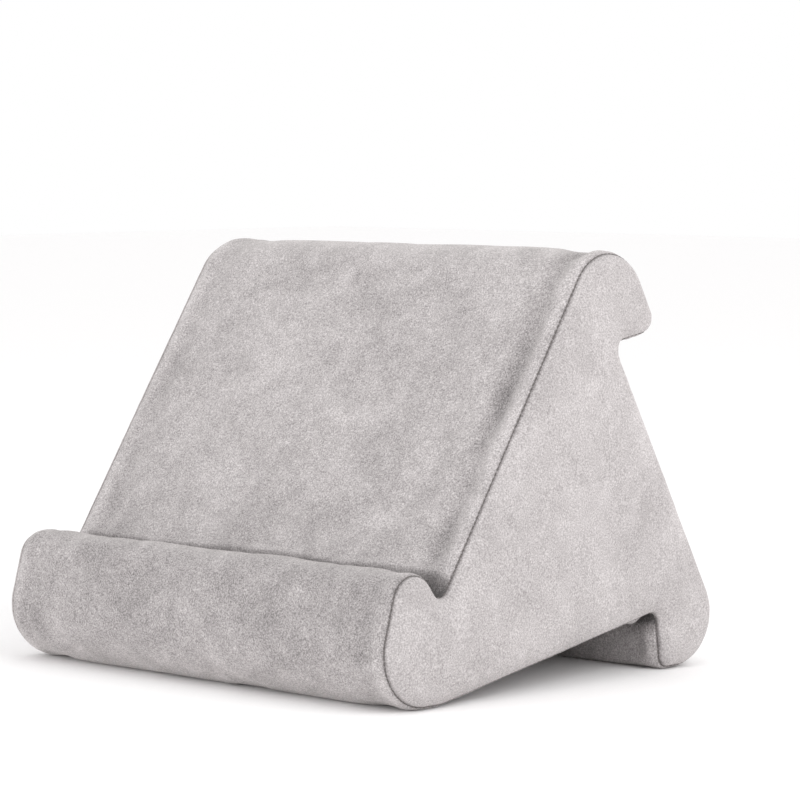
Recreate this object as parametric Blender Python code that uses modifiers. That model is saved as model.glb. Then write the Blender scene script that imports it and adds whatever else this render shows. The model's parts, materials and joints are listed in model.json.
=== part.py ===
"""A soft three-sided tablet stand: a foam wedge in a zipped fabric cover.

Seen from its end, the cushion is a belt drawn tight around ten circles. The three faces
are the belt's long runs, the lobes are the outer circles, and the grooves that hold a
tablet's lower edge are the three circles that the belt passes on their other side. Every
layer of the cushion, from the seam stitches to the foam, is that belt at its own depth.

X runs along the cushion, Y from its front to its back, and Z up from the surface it stands on.
"""

import math

import bmesh
import bpy
import numpy as np
from mathutils import Matrix

MM = 0.001

# The cushion
DEPTH = 245 * MM
SEAM_X = 134 * MM  # from the middle to each end seam
BULGE = 6 * MM  # how far an end panel swells past its seam
BULGE_EDGE = 5 * MM  # the width of the rounded rim around an end panel
GROOVE_WIDTH = 1.5 * MM  # the valley beside a seam
GROOVE_DEPTH = 0.9 * MM
FABRIC = 1.2 * MM
CORE_DEPTH = 3 * MM  # the foam's surface under the fabric's surface
CORE_X = 132.4 * MM
GAP = 0.3 * MM
THREAD_R = 0.25 * MM
ARC_STEP = math.radians(12)

# Circles in belt order, counterclockwise seen from +X: the distance back from the front, the
# height, the radius, and 1 where the belt goes around the outside or -1 where it dips in.
BELT = {
    "front_round": (29.0, 29.0, 29.0, 1),
    "front_foot": (36.0, 30.0, 30.0, 1),
    "base_groove": (196.0, 25.0, 4.0, -1),
    "rear_lip": (210.0, 8.0, 8.0, 1),
    "rear_round": (217.5, 27.5, 27.5, 1),
    "rear_groove": (174.5, 167.0, 4.0, -1),
    "top_lip": (190.5, 183.5, 6.0, 1),
    "top_round": (162.0, 189.0, 28.5, 1),
    "front_groove": (38.5, 59.0, 4.0, -1),
    "front_lip": (21.0, 50.0, 15.0, 1),
}

# The zipper, measured from its middle line, which crosses the back face
ZIP_UP_FACE = 30 * MM  # from the foot of the back face up to the zipper
ZIP_GAP = 4.7 * MM  # half the opening between the fabric edges
HEM_WIDTH = 5 * MM  # the sewn edge of the fabric, which slopes down to the tape
HEM_DROP = 0.5 * MM
TAPE_X = 132 * MM
TAPE_WIDTH = 15.5 * MM
TAPE_THICK = 0.5 * MM
TAPE_DEPTH = FABRIC + HEM_DROP + GAP
COIL_X = 133.2 * MM
COIL_WIDTH = 2.85 * MM
COIL_BOTTOM = GAP - TAPE_DEPTH
COIL_TOP = COIL_BOTTOM + 2.1 * MM

# The slider and its pull
SLIDER_X = 124 * MM  # closed, at the right end
SLIDER_LENGTH = 12 * MM
SLIDER_WIDTH = 8.6 * MM
SLIDER_WALL = 0.9 * MM
SLIDER_ROOF = 1.2 * MM
SLIDER_BOTTOM = COIL_BOTTOM + GAP
SLIDER_TOP = COIL_TOP + GAP + SLIDER_ROOF
ARCH_SPAN = 7.2 * MM  # between the middles of the arch's two legs
ARCH_BAR = 1.2 * MM
ARCH_WIDTH = 2.4 * MM
ARCH_RISE = 1.9 * MM  # clear height under the arch
PULL_Z = SLIDER_TOP + 0.9 * MM
PULL_THICK = 1.1 * MM
PULL_LENGTH = 27 * MM
PULL_NECK = 3.0 * MM  # half widths
PULL_GRIP = 3.9 * MM
PULL_WINDOW = (5.0 * MM, 1.7 * MM)  # length and half width of the opening around the arch

# The care label
LABEL_X = -90 * MM
LABEL_SIZE = (25 * MM, 19 * MM, 0.5 * MM)
LABEL_DOWN = 1 * MM  # from the hem's lower edge to the label's upper edge

for old in list(bpy.data.objects):
    bpy.data.objects.remove(old)
parts = bpy.data.collections.new("tablet_stand")
cutters = bpy.data.collections.new("cutters")
cutters.hide_render = True
bpy.context.scene.collection.children.link(parts)
bpy.context.scene.collection.children.link(cutters)


# ---- the belt -------------------------------------------------------------------------


def run_angle(one, other):
    """The direction of the straight run from one circle to the next."""
    y, z, radius, turn = BELT[one]
    next_y, next_z, next_radius, next_turn = BELT[other]
    across, up = next_y - y, next_z - z
    widening = next_turn * next_radius - turn * radius
    return math.atan2(up, across) - math.asin(widening / math.hypot(across, up))


NAMES = list(BELT)
LEAVE = {name: run_angle(name, NAMES[i + 1 - len(NAMES)]) for i, name in enumerate(NAMES)}
ARRIVE = {name: LEAVE[NAMES[i - 1]] for i, name in enumerate(NAMES)}


def belt_point(name, angle, inset=0.0):
    """(Y, Z) where the belt, moved in by inset, rounds a circle while it heads along angle."""
    y, z, radius, turn = BELT[name]
    reach = turn * radius * MM - inset
    return np.array([
        y * MM - DEPTH / 2 + reach * math.sin(angle),
        z * MM - reach * math.cos(angle),
    ])


def arc(name, inset=0.0, start=0.0, end=1.0):
    """Points on one circle's arc, between two shares of its turn."""
    turn = BELT[name][3]
    swing = turn * ((LEAVE[name] - ARRIVE[name]) * turn % (2 * math.pi))
    count = max(2, round(abs(swing * (end - start)) / ARC_STEP) + 1)
    angles = ARRIVE[name] + swing * np.linspace(start, end, count)
    return [belt_point(name, angle, inset) for angle in angles]


def between(first, last):
    """The circles that the belt meets after first and before last."""
    loop = NAMES[NAMES.index(first):] + NAMES[:NAMES.index(first)]
    return loop[1:loop.index(last)]


def whole_belt(inset=0.0):
    return [point for name in NAMES for point in arc(name, inset)]


def groove_half(name, inset, leaving):
    """Half a groove's arc, ending a little short of the seam in its middle."""
    y, z, radius, turn = BELT[name]
    swing = abs((LEAVE[name] - ARRIVE[name] + math.pi) % (2 * math.pi) - math.pi)
    short = GAP / 2 / (radius * MM * swing)
    return arc(name, inset, 0.5 + short, 1) if leaving else arc(name, inset, 0, 0.5 - short)


def face_point(foot, up, inset=0.0):
    """A point some way along the straight run that leaves the circle called foot."""
    heading = LEAVE[foot]
    along = np.array([math.cos(heading), math.sin(heading)])
    return belt_point(foot, heading, inset) + up * along


# ---- building blocks --------------------------------------------------------------------


def material(name, hex_colour, roughness, metallic=0.0):
    channels = [int(hex_colour[i:i + 2], 16) / 255 for i in (0, 2, 4)]
    linear = [c / 12.92 if c < 0.04045 else ((c + 0.055) / 1.055) ** 2.4 for c in channels]
    made = bpy.data.materials.new(name)
    made.use_nodes = True
    shader = made.node_tree.nodes["Principled BSDF"]
    shader.inputs["Base Color"].default_value = (*linear, 1)
    shader.inputs["Roughness"].default_value = roughness
    shader.inputs["Metallic"].default_value = metallic
    made.diffuse_color = (*linear, 1)
    return made


def add(name, data, look, collection=parts):
    made = bpy.data.objects.new(name, data)
    collection.objects.link(made)
    if look:
        data.materials.append(look)
    if collection is cutters:
        made.hide_render = True
        made.display_type = "WIRE"
    return made


def mesh_from(bm, name):
    bmesh.ops.recalc_face_normals(bm, faces=bm.faces)
    mesh = bpy.data.meshes.new(name)
    bm.to_mesh(mesh)
    bm.free()
    return mesh


def box(name, low, high, look, collection=parts):
    """A block between two corners, in its own axes."""
    low, high = np.array(low), np.array(high)
    bm = bmesh.new()
    place = Matrix.Translation((low + high) / 2) @ Matrix.Diagonal((*(high - low), 1))
    bmesh.ops.create_cube(bm, size=1, matrix=place)
    return add(name, mesh_from(bm, name), look, collection)


def loft(name, sections, look, closed=False, caps=()):
    """A surface through sections of equal length, each a list of (X, Y, Z)."""
    bm = bmesh.new()
    rings = [[bm.verts.new(point) for point in section] for section in sections]
    for ring, following in zip(rings, rings[1:]):
        count = len(ring)
        for i in range(count if closed else count - 1):
            j = (i + 1) % count
            bm.faces.new((ring[i], ring[j], following[j], following[i]))
    for end in caps:
        bm.faces.new(rings[end])
    made = add(name, mesh_from(bm, name), look)
    made.data.shade_smooth()
    made.data.set_sharp_from_angle(angle=math.radians(40))
    return made


def section(x, points):
    return [(x, y, z) for y, z in points]


def thicken(made, thickness, inward):
    """Solidify towards the foam. inward is 1 or -1, by which way the open surface faces."""
    solidify = made.modifiers.new("fabric thickness", "SOLIDIFY")
    solidify.thickness = thickness
    solidify.offset = inward
    solidify.use_even_offset = True
    solidify.use_quality_normals = True


def thread(name, points, look, cyclic=False):
    """A round thread through points, with closed ends."""
    curve = bpy.data.curves.new(name, "CURVE")
    curve.dimensions = "3D"
    curve.bevel_depth = THREAD_R
    curve.bevel_resolution = 1
    curve.use_fill_caps = not cyclic
    spline = curve.splines.new("POLY")
    spline.points.add(len(points) - 1)
    spline.points.foreach_set("co", [c for point in points for c in (*point, 1)])
    spline.use_cyclic_u = cyclic
    return add(name, curve, look)


def plate(name, outlines, thickness, look, collection=parts):
    """A flat 2D outline, with any holes as further outlines, extruded both ways."""
    curve = bpy.data.curves.new(name, "CURVE")
    curve.dimensions = "2D"
    curve.fill_mode = "BOTH"
    curve.extrude = thickness / 2
    for outline in outlines:
        spline = curve.splines.new("POLY")
        spline.points.add(len(outline) - 1)
        spline.points.foreach_set("co", [c for x, y in outline for c in (x, y, 0, 1)])
        spline.use_cyclic_u = True
    return add(name, curve, look, collection)


def to_mesh(made):
    """Replace a curve object by a welded mesh object of the same name, which Booleans accept."""
    bpy.context.view_layer.update()
    graph = bpy.context.evaluated_depsgraph_get()
    mesh = bpy.data.meshes.new_from_object(made.evaluated_get(graph))
    bm = bmesh.new()
    bm.from_mesh(mesh)
    bmesh.ops.remove_doubles(bm, verts=bm.verts, dist=1e-6)
    bm.to_mesh(mesh)
    bm.free()
    name, home = made.name, made.users_collection[0]
    place = made.matrix_world.copy()
    bpy.data.objects.remove(made)
    solid = add(name, mesh, None, home)
    solid.matrix_world = place
    return solid


def boolean(made, other, operation):
    step = made.modifiers.new(operation.lower(), "BOOLEAN")
    step.operation = operation
    step.object = other


def bevel(made, width, segments=2):
    step = made.modifiers.new("rounded edges", "BEVEL")
    step.width = width
    step.segments = segments
    step.limit_method = "ANGLE"
    step.angle_limit = math.radians(40)
    step.use_clamp_overlap = True


def half_round(x, y, radius, start, end, count=7):
    """Points on an arc about (x, y), from one angle to another, in degrees."""
    angles = np.radians(np.linspace(start, end, count))
    return [(x + radius * math.cos(a), y + radius * math.sin(a)) for a in angles]


# ---- materials --------------------------------------------------------------------------

velvet = material("short_pile_velvet", "CBC8C5", 0.95)
velvet_end = material("short_pile_velvet_end", "CFCCC9", 0.95)
foam = material("polyurethane_foam", "E9E1C6", 0.9)
polyester_thread = material("polyester_thread", "BDB9B5", 0.7)
woven_tape = material("woven_tape", "B4B1AD", 0.85)
nylon = material("nylon_coil", "A9A6A2", 0.4)
zinc = material("plated_zinc", "B9BABC", 0.3, 1.0)
satin = material("satin_ribbon", "EEEDEA", 0.5)


# ---- the cover and the foam ---------------------------------------------------------------


def wrap_sections(make_points):
    """The wrap's cross-sections along X, dipping into the valley at both end seams."""
    edge, shoulder = SEAM_X - GAP / 2, SEAM_X - GROOVE_WIDTH
    stops = [(-edge, GROOVE_DEPTH), (-shoulder, 0), (shoulder, 0), (edge, GROOVE_DEPTH)]
    return [section(x, make_points(inset)) for x, inset in stops]


def front_points(inset):
    middle = [p for name in between("rear_groove", "front_groove") for p in arc(name, inset)]
    start = groove_half("rear_groove", inset, leaving=True)
    return start + middle + groove_half("front_groove", inset, leaving=False)


def base_points(inset):
    middle = [p for name in between("front_groove", "base_groove") for p in arc(name, inset)]
    start = groove_half("front_groove", inset, leaving=True)
    return start + middle + groove_half("base_groove", inset, leaving=False)


def back_lower_points(inset):
    middle = [p for name in between("base_groove", "rear_groove") for p in arc(name, inset)]
    hem = [
        face_point("rear_round", ZIP_UP_FACE - ZIP_GAP - HEM_WIDTH, inset),
        face_point("rear_round", ZIP_UP_FACE - ZIP_GAP, inset + HEM_DROP),
    ]
    return groove_half("base_groove", inset, leaving=True) + middle + hem


def back_upper_points(inset):
    hem = [
        face_point("rear_round", ZIP_UP_FACE + ZIP_GAP, inset + HEM_DROP),
        face_point("rear_round", ZIP_UP_FACE + ZIP_GAP + HEM_WIDTH, inset),
    ]
    return hem + groove_half("rear_groove", inset, leaving=False)


def wrap_panel(name, make_points):
    panel = loft(name, wrap_sections(make_points), velvet)
    thicken(panel, FABRIC, inward=-1)


def end_sections(side):
    """Cross-sections of an end panel: up out of the seam's valley, then a quarter ellipse."""
    shoulder = SEAM_X + GROOVE_WIDTH
    stops = [(SEAM_X + GAP / 2, GROOVE_DEPTH)]
    for angle in np.radians([0, 35, 65, 90]):
        x = shoulder + (BULGE - GROOVE_WIDTH) * math.sin(angle)
        stops.append((x, BULGE_EDGE * (1 - math.cos(angle))))
    return [section(side * x, whole_belt(inset)) for x, inset in stops]


def end_panel(name, side):
    panel = loft(name, end_sections(side), velvet_end, closed=True, caps=[-1])
    thicken(panel, FABRIC, inward=-1)


def foam_core():
    """The foam follows the cover from inside, with a softer rim at each end."""
    rim = [(CORE_X, 0), (CORE_X + 3.6 * MM, 0.7 * MM), (SEAM_X + 4.2 * MM, 2.4 * MM)]
    stops = [(-x, depth) for x, depth in reversed(rim)] + rim
    sections = [section(x, whole_belt(CORE_DEPTH + depth)) for x, depth in stops]
    loft("foam_core", sections, foam, closed=True, caps=[0, -1])


wrap_panel("front_panel", front_points)
wrap_panel("base_panel", base_points)
wrap_panel("back_panel_lower", back_lower_points)
wrap_panel("back_panel_upper", back_upper_points)
end_panel("end_panel_left", -1)
end_panel("end_panel_right", 1)
foam_core()


# ---- the seams' threads -------------------------------------------------------------------

for side, side_name in ((-1, "left"), (1, "right")):
    loop = section(side * SEAM_X, whole_belt(GAP))
    thread(f"end_seam_thread_{side_name}", loop, polyester_thread, cyclic=True)

for groove in ("front", "rear", "base"):
    name = f"{groove}_groove"
    swing = (LEAVE[name] - ARRIVE[name] + math.pi) % (2 * math.pi) - math.pi
    y, z = belt_point(name, ARRIVE[name] + swing / 2, -GAP - THREAD_R)
    ends = [(side * (SEAM_X - MM), y, z) for side in (-1, 1)]
    thread(f"{groove}_groove_thread", ends, polyester_thread)


# ---- the zipper ---------------------------------------------------------------------------

# Local Y runs down the back face and local Z out of it.
zip_frame = bpy.data.objects.new("zipper_frame", None)
parts.objects.link(zip_frame)
zip_frame.location = (0, *face_point("rear_round", ZIP_UP_FACE))
zip_frame.rotation_euler = (LEAVE["rear_round"] - math.pi, 0, 0)

for side, side_name in ((-1, "upper"), (1, "lower")):
    near, far = sorted((side * GAP, side * (GAP + TAPE_WIDTH)))
    tape = box(
        f"zipper_tape_{side_name}",
        (-TAPE_X, near, -TAPE_DEPTH - TAPE_THICK),
        (TAPE_X, far, -TAPE_DEPTH),
        woven_tape,
    )
    near, far = sorted((side * GAP / 2, side * (GAP / 2 + COIL_WIDTH)))
    coil = box(
        f"zipper_coil_{side_name}",
        (-COIL_X, near, COIL_BOTTOM),
        (COIL_X, far, COIL_TOP),
        nylon,
    )
    bevel(coil, 0.6 * MM, 3)
    row = side * (ZIP_GAP + HEM_WIDTH / 2)
    ends = [(x, row, GAP + THREAD_R - HEM_DROP / 2) for x in (-TAPE_X, TAPE_X)]
    stitches = thread(f"zipper_stitches_{side_name}", ends, polyester_thread)
    for piece in (tape, coil, stitches):
        piece.parent = zip_frame


def slider_arch():
    """The raised arch on the slider's roof: a bent bar seen from its side, then stood up."""
    outer_r, inner_r = 1.6 * MM, 0.5 * MM
    half, inner = ARCH_SPAN / 2 + ARCH_BAR / 2, ARCH_SPAN / 2 - ARCH_BAR / 2
    bottom, top = -SLIDER_ROOF / 2, ARCH_RISE + ARCH_BAR
    outline = [(half, bottom)]
    outline += half_round(half - outer_r, top - outer_r, outer_r, 0, 90)
    outline += half_round(outer_r - half, top - outer_r, outer_r, 90, 180)
    outline += [(-half, bottom), (-inner, bottom)]
    outline += half_round(inner_r - inner, ARCH_RISE - inner_r, inner_r, 180, 90, 4)
    outline += half_round(inner - inner_r, ARCH_RISE - inner_r, inner_r, 90, 0, 4)
    outline += [(inner, bottom)]
    arch = plate("slider_arch", [outline], ARCH_WIDTH, zinc, cutters)
    arch.rotation_euler = (math.pi / 2, 0, 0)
    arch.location.z = SLIDER_TOP
    return to_mesh(arch)


def slider(at):
    """A C-shaped body over the coils, with an arch on its roof to hold the pull."""
    half_x, half_y = SLIDER_LENGTH / 2, SLIDER_WIDTH / 2
    body = box(
        "zipper_slider",
        (-half_x, -half_y, SLIDER_BOTTOM),
        (half_x, half_y, SLIDER_TOP),
        zinc,
    )
    channel = box(
        "slider_channel",
        (-SLIDER_LENGTH, SLIDER_WALL - half_y, SLIDER_BOTTOM - MM),
        (SLIDER_LENGTH, half_y - SLIDER_WALL, COIL_TOP + GAP),
        None,
        cutters,
    )
    boolean(body, channel, "DIFFERENCE")
    bevel(body, 0.35 * MM, 2)
    arch = slider_arch()
    boolean(body, arch, "UNION")
    for piece in (body, channel, arch):
        piece.parent = at


def pull(at):
    """A flat pull whose end bar passes under the slider's arch."""
    bar = PULL_THICK / 2
    length, window = PULL_LENGTH, PULL_WINDOW[0]
    grip_x = PULL_GRIP - length
    outline = [(bar, -PULL_NECK), (bar, PULL_NECK), (-window - 2 * MM, PULL_NECK)]
    outline += half_round(grip_x, 0, PULL_GRIP, 75, 285, 15)
    outline += [(-window - 2 * MM, -PULL_NECK)]
    half = PULL_WINDOW[1]
    corner = 0.8 * MM
    hole = [(-bar, -half), (-bar, half)]
    hole += half_round(corner - window, half - corner, corner, 90, 180, 4)
    hole += half_round(corner - window, corner - half, corner, 180, 270, 4)
    thick = PULL_THICK
    made = to_mesh(plate("zipper_pull", [outline, hole], thick, zinc))
    bevel(made, 0.25 * MM, 2)
    made.parent = at


at_slider = bpy.data.objects.new("slider_place", None)
at_slider.location = (SLIDER_X, 0, 0)
at_slider.parent = zip_frame
at_pull = bpy.data.objects.new("pull_hinge", None)
at_pull.location = (0, 0, PULL_Z)
at_pull.parent = at_slider
for empty in (at_slider, at_pull):
    parts.objects.link(empty)
slider(at_slider)
pull(at_pull)


# ---- the care label -------------------------------------------------------------------------

width, height, thick = LABEL_SIZE
top = ZIP_GAP + HEM_WIDTH + LABEL_DOWN
label = box(
    "care_label",
    (LABEL_X - width / 2, top, GAP),
    (LABEL_X + width / 2, top + height, GAP + thick),
    satin,
)
label.parent = zip_frame
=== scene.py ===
# %% [markdown]
# # A soft three-sided tablet stand
#
# A block of foam wears a sewn velvet cover. Seen from the end it is a rounded triangle with a
# lobe at each corner, and a groove beside each lobe that a tablet's edge stands in. The cover
# is one long wrap in four panels and two end panels, with a zipper across its back.
#
# Every part below is a surface worked out as whole numpy arrays. This first cell loads the
# finished CAD model.

import json
import math

import bpy
import numpy as np
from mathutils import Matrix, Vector
from mathutils.geometry import delaunay_2d_cdt


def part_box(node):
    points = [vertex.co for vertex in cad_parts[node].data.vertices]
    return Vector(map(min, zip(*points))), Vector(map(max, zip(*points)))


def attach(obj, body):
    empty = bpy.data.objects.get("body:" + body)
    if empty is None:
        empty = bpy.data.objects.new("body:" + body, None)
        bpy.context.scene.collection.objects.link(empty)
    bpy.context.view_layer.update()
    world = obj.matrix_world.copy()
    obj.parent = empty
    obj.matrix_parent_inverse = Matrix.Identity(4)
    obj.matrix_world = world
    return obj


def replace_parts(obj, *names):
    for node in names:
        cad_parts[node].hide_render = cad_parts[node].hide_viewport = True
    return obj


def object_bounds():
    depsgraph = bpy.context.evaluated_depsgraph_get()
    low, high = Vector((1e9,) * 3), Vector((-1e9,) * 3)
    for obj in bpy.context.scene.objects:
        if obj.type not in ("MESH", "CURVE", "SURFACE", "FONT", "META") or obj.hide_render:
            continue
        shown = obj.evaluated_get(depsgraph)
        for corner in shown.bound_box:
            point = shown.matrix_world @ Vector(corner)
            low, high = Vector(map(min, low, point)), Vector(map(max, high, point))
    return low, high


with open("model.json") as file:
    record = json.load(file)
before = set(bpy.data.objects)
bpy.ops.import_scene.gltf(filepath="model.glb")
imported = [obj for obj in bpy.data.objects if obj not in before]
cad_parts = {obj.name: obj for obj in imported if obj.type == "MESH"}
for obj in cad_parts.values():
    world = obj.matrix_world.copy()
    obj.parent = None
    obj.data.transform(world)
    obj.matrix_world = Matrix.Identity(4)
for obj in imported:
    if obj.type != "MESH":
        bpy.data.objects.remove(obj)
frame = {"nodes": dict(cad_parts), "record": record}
cad_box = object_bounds()
MM = 0.001
print("the CAD box in mm:", [round((b - a) / MM, 1) for a, b in zip(*cad_box)])

# %% [markdown]
# ## The side profile, as a belt round ten circles
#
# A pattern cutter draws such a shape with a compass: a circle for each rounded corner and each
# groove, joined by straight runs that just touch them. The profile is then a belt pulled tight
# round the circles. At any distance along it you know the point and the direction that faces
# out, so a seam, a stitch or a fold can be placed as a sewer would place it.

# %% The ten circles: back from the front, height, radius (mm), and +1 outside or -1 dipping in
CIRCLES = {
    "front_round": (27.8, 29.0, 29.0, 1),
    "front_foot": (36.0, 30.0, 30.0, 1),
    "base_groove": (196.0, 25.0, 4.0, -1),
    "rear_lip": (210.0, 8.0, 8.0, 1),
    "rear_round": (217.5, 27.5, 27.5, 1),
    "rear_groove": (174.5, 167.0, 4.0, -1),
    "top_lip": (187.7, 182.6, 9.2, 1),
    "top_round": (162.0, 189.0, 28.5, 1),
    "front_groove": (38.5, 59.0, 4.0, -1),
    "front_lip": (19.8, 52.3, 15.0, 1),
}
NAMES = list(CIRCLES)
COVER_OVER_FOAM = 3 * MM
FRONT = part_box("foam_core")[0].y - COVER_OVER_FOAM
GROOVES = ("front_groove", "rear_groove", "base_groove")


def run_heading(one, other):
    """Heading of the straight run between two circles.

    It is the heading from centre to centre, less the angle whose sine is the difference of
    the signed radii over the centres' distance.
    """
    (y1, z1, r1, t1), (y2, z2, r2, t2) = CIRCLES[one], CIRCLES[other]
    lean = math.asin((t2 * r2 - t1 * r1) / math.hypot(y2 - y1, z2 - z1))
    return math.atan2(z2 - z1, y2 - y1) - lean


RUNS = list(zip(NAMES, NAMES[1:] + NAMES[:1]))
LEAVE = {a: run_heading(a, b) for a, b in RUNS}
ARRIVE = {b: LEAVE[a] for a, b in RUNS}


def trace_belt(step=0.25 * MM):
    """The belt as a table of distance, y, z and heading, with each circle's two ends.

    On a circle the heading turns evenly, and a point is the centre plus the signed radius
    along the outward normal, which is (sin heading, -cos heading). Runs are straight.
    """
    rows, ends, done = [], {}, 0
    for name, (y, z, radius, turn) in CIRCLES.items():
        swing = (LEAVE[name] - ARRIVE[name] + math.pi) % (2 * math.pi) - math.pi
        count = max(4, math.ceil(abs(swing) * radius * MM / step))
        heading = ARRIVE[name] + swing * np.linspace(0, 1, count)
        reach = turn * radius * MM
        across = FRONT + y * MM + reach * np.sin(heading)
        up = z * MM - reach * np.cos(heading)
        ends[name] = (done, done + count - 1)
        done += count
        rows.append(np.stack([across, up, heading], -1))
    line = np.concatenate(rows + [rows[0][:1]])
    line[:, 2] = np.unwrap(line[:, 2])
    along = np.concatenate([[0], np.hypot(*np.diff(line[:, :2], axis=0).T).cumsum()])
    return along, line, {n: (along[a], along[b]) for n, (a, b) in ends.items()}


ALONG, LINE, ENDS = trace_belt()
LOOP = ALONG[-1]
MIDDLE = {name: sum(ENDS[name]) / 2 for name in GROOVES}
print(f"the belt is {LOOP / MM:.1f} mm round")

# %% The belt at any distance, and the belt point nearest to any point
def belt(s, out=0.0):
    """Points (y, z) at distance s along the belt, moved `out` along the outward normal."""
    s = np.mod(s, LOOP)
    y, z, heading = (np.interp(s, ALONG, LINE[:, i]) for i in range(3))
    return np.stack([y + out * np.sin(heading), z - out * np.cos(heading)], -1)


def nearest(points, step=0.5 * MM):
    """Depth inside the belt and the distance along it, by the nearest of its points."""
    s = np.arange(0, LOOP, step)
    line, ahead = belt(s), belt(s, MM)
    gap = points[:, None] - line[None]
    pick = (gap**2).sum(-1).argmin(1)
    away = points - line[pick]
    inside = np.sign((away * (line[pick] - ahead[pick])).sum(-1))
    return inside * np.hypot(*away.T), s[pick]


# %% [markdown]
# ## Meshes from grids
#
# A few small tools make every mesh here. One turns an array of points and faces into an
# object, one lists the four-sided faces of a grid, and one spaces a grid's lines closely
# where the cloth bends sharply, at seams and hems, and widely where it is flat. Heights are
# built from the same few curves: a ramp, a soft ramp, a bell and irregular waves.

# %% Objects, faces, spacing and curves
def make_piece(name, points, faces, finish, lean=None):
    """An object at the origin from an array of points and lists of faces, shaded smooth.

    lean is a number for each point, kept in the mesh for a material to read: painted light and
    shade, and some random tone.
    """
    mesh = bpy.data.meshes.new(name)
    mesh.from_pydata(points.reshape(-1, 3).tolist(), [], faces)
    mesh.materials.append(finish)
    mesh.shade_smooth()
    if lean is not None:
        values = mesh.attributes.new("pile_lean", "FLOAT", "POINT").data
        values.foreach_set("value", np.ravel(lean).astype(np.float32))
    made = bpy.data.objects.new(name, mesh)
    bpy.context.scene.collection.objects.link(made)
    return made


def grid_faces(rows, columns, loop_rows=False, loop_columns=False):
    """Faces between neighbours of a grid, facing along (next row) x (next column)."""
    r = np.arange(rows if loop_rows else rows - 1)[:, None]
    c = np.arange(columns if loop_columns else columns - 1)[None, :]
    r2, c2 = (r + 1) % rows, (c + 1) % columns
    corners = (r * columns + c, r2 * columns + c, r2 * columns + c2, r * columns + c2)
    return np.stack(np.broadcast_arrays(*corners), -1).reshape(-1, 4).tolist()


def with_x(x, place):
    """Points (x, y, z) from x and points (y, z)."""
    return np.concatenate([np.broadcast_to(x, place.shape[:-1])[..., None], place], -1)


def graded(start, stop, spots, fine, coarse, reach, samples=4000):
    """Values from start to stop, `fine` apart at the spots and `coarse` apart past reach.

    The number of steps up to a place is the integral of one over the spacing there.
    """
    x = np.linspace(start, stop, samples)
    near = np.abs(x[:, None] - np.asarray(spots)[None]).min(1)
    spacing = fine + (coarse - fine) * ramp(near, reach)
    steps = np.concatenate([[0], (np.diff(x) / spacing[1:]).cumsum()])
    return np.interp(np.linspace(0, steps[-1], math.ceil(steps[-1]) + 1), steps, x)


def ramp(distance, reach):
    """0 at no distance, rising evenly to 1 at the reach."""
    return np.clip(distance / reach, 0, 1)


def eased(t):
    """A ramp that starts and stops softly: t^2 * (3 - 2t)."""
    return t**2 * (3 - 2 * t)


def bell(distance, width):
    """A bell curve, 1 at no distance: e to the power of minus (distance / width)^2."""
    return np.exp(-((distance / width) ** 2))


def waves(u, v, length, seed, count=20):
    """Soft irregular waves of about -1 to 1, the same for the same seed.

    The sum of `count` cosines with wavelengths near `length` and random directions and starts.
    """
    draw = np.random.default_rng(seed)
    turn, start = draw.uniform(0, math.pi, count), draw.uniform(0, 2 * math.pi, count)
    pace = 2 * math.pi / (length * draw.uniform(0.7, 1.5, count))
    total = 0
    for t, p, b in zip(turn, pace, start):
        total = total + np.cos(p * (u * math.cos(t) + v * math.sin(t)) + b)
    return total / math.sqrt(2 * count)


# %% [markdown]
# ## How the cloth sits at its seams
#
# Where two panels are sewn together both roll inwards and meet in a narrow valley. A little
# further in, the tight cloth makes a shallow hollow, and the seam gathers it into small
# puckers that fade within a few millimetres. All of this is a height over the plain belt.

# %% Sizes of the seams and folds
SEAM_X = 134 * MM
ROLL, ROLL_REACH = 1.0 * MM, 6 * MM
VALLEY, VALLEY_REACH = 0.8 * MM, 0.45 * MM
SEAM_DEPTH = ROLL + VALLEY
HOLLOW, HOLLOW_PLACE, HOLLOW_WIDTH = 1.9 * MM, 14.5 * MM, 6 * MM
HOLLOW_SHARE = {-1: 0.3, 1: 1.0}
HOLLOW_PATCH, PUCKER_PATCH = 60 * MM, 45 * MM
PUCKER, PUCKER_LENGTH, PUCKER_FADE = 0.22 * MM, 7 * MM, 4.5 * MM
GROOVE_PULL = 13 * MM
FACE_BEGINS, FACE_STOPS, FACE_FADE = 25 * MM, 12 * MM, 6 * MM
FABRIC = 1.2 * MM
SEEDS = {-1: 14, 1: 26}
ZIP_UP_FACE, ZIP_GAP, HEM_WIDTH, HEM_DROP = 30 * MM, 4.7 * MM, 5 * MM, 0.5 * MM
ZIP_S = ENDS["rear_round"][1] + ZIP_UP_FACE
LONGER, LONGER_PAST = 3.7 * MM, 18 * MM


def far_from(s, place):
    """The distance along the belt between s and a place, the shorter way round."""
    gap = np.mod(s - place, LOOP)
    return np.minimum(gap, LOOP - gap)


def lengthen(s, x):
    """How far the fuller left end lies past its place: LONGER * (share of the left half)^2.

    A bell curve takes it back to nothing at the zipper, whose length is a standard one.
    """
    zipper = bell(far_from(s, ZIP_S), LONGER_PAST)
    return -LONGER * ramp(-x, SEAM_X) ** 2 * (1 - zipper)


def near_grooves(s, width):
    """A bell at each groove's seam, 1 at the seam itself."""
    return sum(bell(far_from(s, place), width) for place in MIDDLE.values())


def on_long_face(s):
    """1 on the long front face and the start of the top lobe, falling to 0.2 elsewhere."""
    s = np.mod(s, LOOP)
    begin, end = ENDS["top_round"][0] + FACE_BEGINS, ENDS["front_groove"][0] - FACE_STOPS
    rise = 1 / (1 + np.exp((begin - s) / FACE_FADE))
    fall = 1 / (1 + np.exp((s - end) / FACE_FADE))
    return 0.2 + 0.8 * rise * fall


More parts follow.
